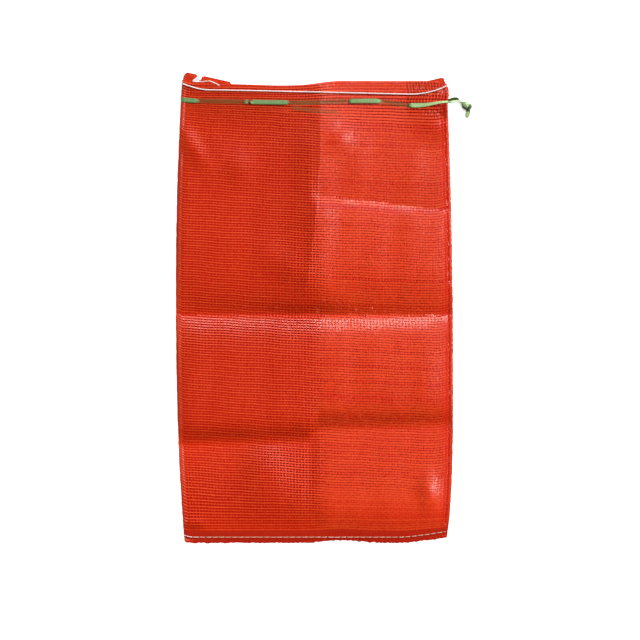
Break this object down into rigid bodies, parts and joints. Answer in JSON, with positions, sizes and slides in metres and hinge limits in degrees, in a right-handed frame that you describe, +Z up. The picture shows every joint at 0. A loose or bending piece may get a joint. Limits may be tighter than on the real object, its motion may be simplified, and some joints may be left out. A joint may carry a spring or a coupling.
{
  "type": "raschel mesh bag",
  "caption": "Empty flat raschel net bag with a sewn base, a hemmed mouth and a flat drawstring laced below the mouth and knotted at the side.",
  "frame": {"origin": "centre of the flat bag's outline, on the surface that it lies on", "axes": "+X across the bag towards the knot, +Y along the bag towards its mouth, +Z up out of the shown side"},
  "size_m": [0.4832, 0.7701, 0.0124],
  "materials": {
    "net": "knitted glossy polyethylene tape",
    "string": "flat braided cord, satin",
    "thread": "spun sewing thread, matte"
  },
  "bodies": {
    "root": {"bag_net": "net", "drawstring": "string", "drawstring_tail_front": "string", "drawstring_tail_back": "string", "drawstring_knot": "string", "mouth_stitch": "thread", "base_stitch": "thread", "loose_thread": "thread"}
  },
  "joints": []
}
